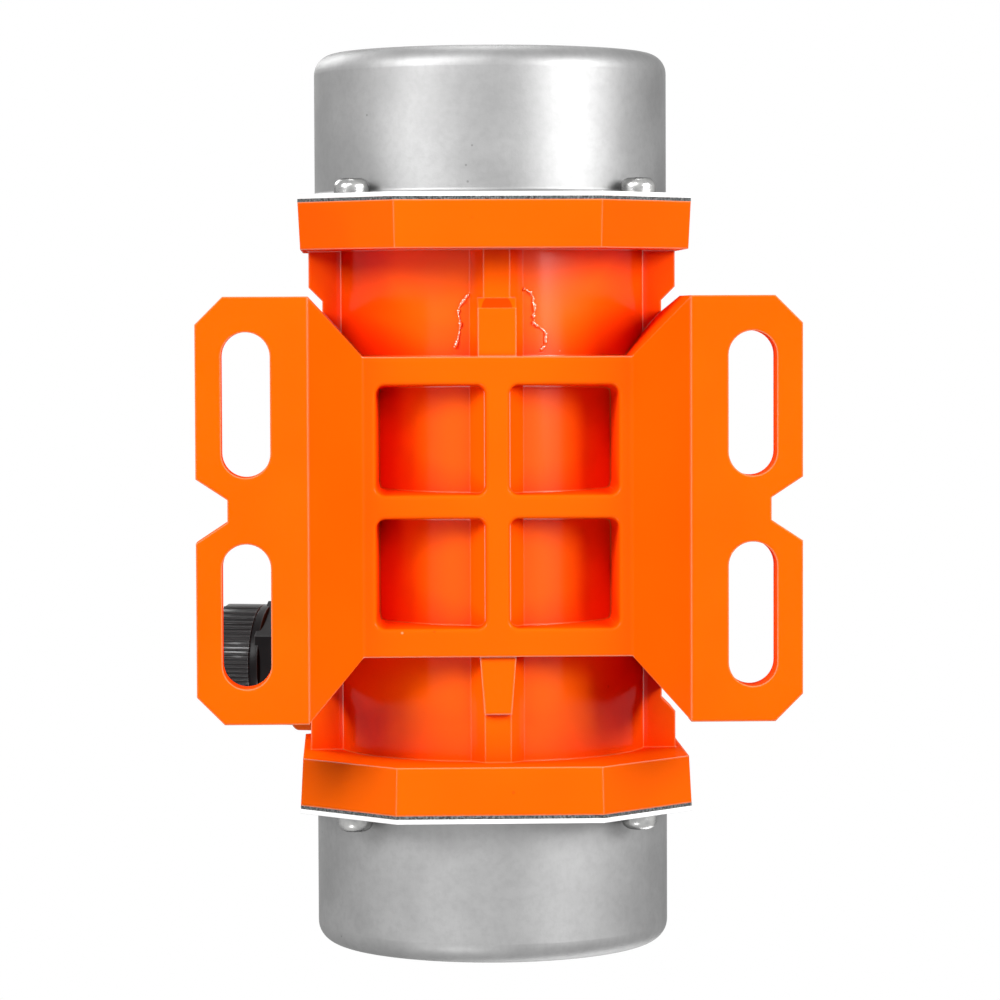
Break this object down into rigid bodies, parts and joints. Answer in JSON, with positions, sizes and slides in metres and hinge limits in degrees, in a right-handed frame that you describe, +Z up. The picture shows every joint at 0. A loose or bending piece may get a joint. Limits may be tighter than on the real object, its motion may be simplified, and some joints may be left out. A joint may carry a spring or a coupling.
{
  "type": "vibration motor",
  "caption": "Foot-mounted vibration motor: ribbed cast body, slotted feet, drawn weight covers over adjustable eccentric weights on both shaft ends, terminal box with cable gland.",
  "frame": {"origin": "centre of the slot pattern on the underside of the feet", "axes": "+X along the shaft towards the end away from the cable gland, +Y across the feet away from the cable gland, +Z up from the base plane"},
  "size_m": [0.196, 0.1308, 0.1203],
  "materials": {
    "housing": "glossy orange paint on an aluminium casting",
    "lid_gasket": "black rubber sheet",
    "terminal_box_lid": "glossy orange paint on an aluminium casting",
    "lid_screws": "zinc-plated steel",
    "terminal_block": "black moulded resin",
    "terminal_studs": "plain brass",
    "block_screws": "zinc-plated steel",
    "earth_screw": "plain brass",
    "gland_washer": "black rubber",
    "gland_body": "black nylon",
    "gland_seal": "black rubber",
    "gland_dome_nut": "black nylon",
    "stator_core": "stacked electrical steel sheets",
    "stator_windings": "enamelled copper wire under varnish",
    "weight_cover": "satin drawn stainless steel",
    "cover_gasket": "dark grey gasket sheet",
    "cover_screws": "bright zinc-plated steel",
    "bearing_bracket": "machined grey iron",
    "bracket_screws": "zinc-plated steel",
    "bearing_outer_ring": "polished bearing steel",
    "bearing_circlip": "blued spring steel",
    "shaft": "ground steel",
    "rotor_core": "stacked electrical steel sheets",
    "rotor_end_rings": "cast aluminium",
    "bearing_inner_ring": "polished bearing steel",
    "weight_spacer": "turned steel",
    "fixed_weight": "steel plate with a dark finish",
    "weight_key": "bright steel",
    "weight_washer": "zinc-plated steel",
    "shaft_circlip": "blued spring steel",
    "bearing_cage": "pressed steel",
    "bearing_balls": "polished bearing steel",
    "adjustable_weight": "steel plate with a dark finish",
    "clamp_screw": "black oxide steel"
  },
  "bodies": {
    "motor_body": {"housing": "housing", "lid_gasket": "lid_gasket", "terminal_box_lid": "terminal_box_lid", "lid_screws": "lid_screws", "terminal_block": "terminal_block", "terminal_studs": "terminal_studs", "block_screws": "block_screws", "earth_screw": "earth_screw", "gland_washer": "gland_washer", "gland_body": "gland_body", "gland_seal": "gland_seal", "gland_dome_nut": "gland_dome_nut", "stator_core": "stator_core", "stator_windings": "stator_windings", "front_weight_cover": "weight_cover", "front_cover_gasket": "cover_gasket", "front_cover_screws": "cover_screws", "front_bearing_bracket": "bearing_bracket", "front_bracket_screws": "bracket_screws", "front_bearing_outer_ring": "bearing_outer_ring", "front_bearing_circlip": "bearing_circlip", "rear_weight_cover": "weight_cover", "rear_cover_gasket": "cover_gasket", "rear_cover_screws": "cover_screws", "rear_bearing_bracket": "bearing_bracket", "rear_bracket_screws": "bracket_screws", "rear_bearing_outer_ring": "bearing_outer_ring", "rear_bearing_circlip": "bearing_circlip"},
    "rotor": {"shaft": "shaft", "rotor_core": "rotor_core", "rotor_end_rings": "rotor_end_rings", "front_bearing_inner_ring": "bearing_inner_ring", "front_weight_spacer": "weight_spacer", "front_fixed_weight": "fixed_weight", "front_weight_key": "weight_key", "front_weight_washer": "weight_washer", "front_shaft_circlip": "shaft_circlip", "rear_bearing_inner_ring": "bearing_inner_ring", "rear_weight_spacer": "weight_spacer", "rear_fixed_weight": "fixed_weight", "rear_weight_key": "weight_key", "rear_weight_washer": "weight_washer", "rear_shaft_circlip": "shaft_circlip"},
    "front_ball_set": {"front_bearing_cage": "bearing_cage", "front_bearing_balls": "bearing_balls"},
    "front_adjustable_eccentric": {"front_adjustable_weight": "adjustable_weight", "front_clamp_screw": "clamp_screw"},
    "rear_ball_set": {"rear_bearing_cage": "bearing_cage", "rear_bearing_balls": "bearing_balls"},
    "rear_adjustable_eccentric": {"rear_adjustable_weight": "adjustable_weight", "rear_clamp_screw": "clamp_screw"}
  },
  "joints": [
    {"name": "rotor_spin", "type": "hinge", "parent": "motor_body", "child": "rotor", "pos_m": [0, 0, 0.052], "axis": [1, 0, 0], "continuous": true},
    {"name": "front_ball_orbit", "type": "hinge", "parent": "motor_body", "child": "front_ball_set", "pos_m": [0.059, 0, 0.052], "axis": [1, 0, 0], "continuous": true},
    {"name": "rear_ball_orbit", "type": "hinge", "parent": "motor_body", "child": "rear_ball_set", "pos_m": [-0.059, 0, 0.052], "axis": [1, 0, 0], "continuous": true},
    {"name": "front_weight_setting", "type": "hinge", "parent": "rotor", "child": "front_adjustable_eccentric", "pos_m": [0.0864, 0, 0.052], "axis": [1, 0, 0], "range_deg": [0, 180]},
    {"name": "rear_weight_setting", "type": "hinge", "parent": "rotor", "child": "rear_adjustable_eccentric", "pos_m": [-0.0864, 0, 0.052], "axis": [-1, 0, 0], "range_deg": [0, 180]}
  ],
  "couplings": [
    {"joint": "front_ball_orbit", "follows": "rotor_spin", "ratio": 0.38},
    {"joint": "rear_ball_orbit", "follows": "rotor_spin", "ratio": 0.38}
  ]
}
